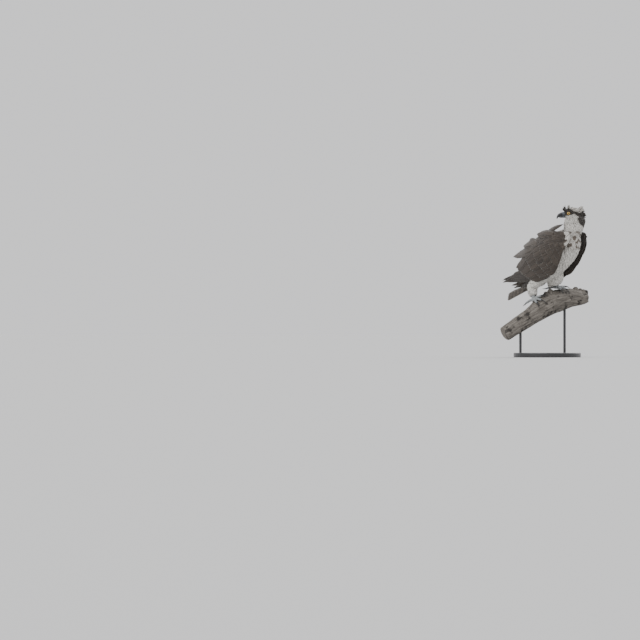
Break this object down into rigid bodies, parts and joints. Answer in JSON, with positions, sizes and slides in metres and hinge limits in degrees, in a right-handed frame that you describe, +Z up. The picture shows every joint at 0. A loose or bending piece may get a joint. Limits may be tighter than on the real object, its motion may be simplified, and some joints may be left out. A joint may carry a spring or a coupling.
{
  "type": "osprey",
  "caption": "Life-size osprey gripping a short cut length of dead branch, held over a round base by two rods.",
  "frame": {"origin": "centre of the stand base's underside, on the surface that it stands on", "axes": "+Z up; the reference camera looks along +Y with +X to its right, the bird's body faces +X turned 38 degrees towards -Y and its bill points to -X"},
  "size_m": [0.3969, 0.3237, 0.6753],
  "materials": {
    "white_feathers": "matte",
    "dark_feathers": "matte",
    "eye": "gloss",
    "horn": "satin",
    "scaled_skin": "matte",
    "weathered_wood": "matte",
    "stand_metal": "satin"
  },
  "bodies": {
    "root": {"torso": "white_feathers", "neck": "white_feathers", "head": "white_feathers", "thigh_left": "white_feathers", "thigh_right": "white_feathers", "wing_left": "dark_feathers", "wing_right": "dark_feathers", "tail": "dark_feathers", "eye_left": "eye", "eye_right": "eye", "bill_upper": "horn", "bill_lower": "horn", "claw_left_1": "horn", "claw_left_2": "horn", "claw_left_3": "horn", "claw_left_4": "horn", "claw_right_1": "horn", "claw_right_2": "horn", "claw_right_3": "horn", "claw_right_4": "horn", "shank_left": "scaled_skin", "shank_right": "scaled_skin", "foot_left": "scaled_skin", "foot_right": "scaled_skin", "perch_branch": "weathered_wood", "stand_base": "stand_metal", "stand_rod_1": "stand_metal", "stand_rod_2": "stand_metal"}
  },
  "joints": []
}
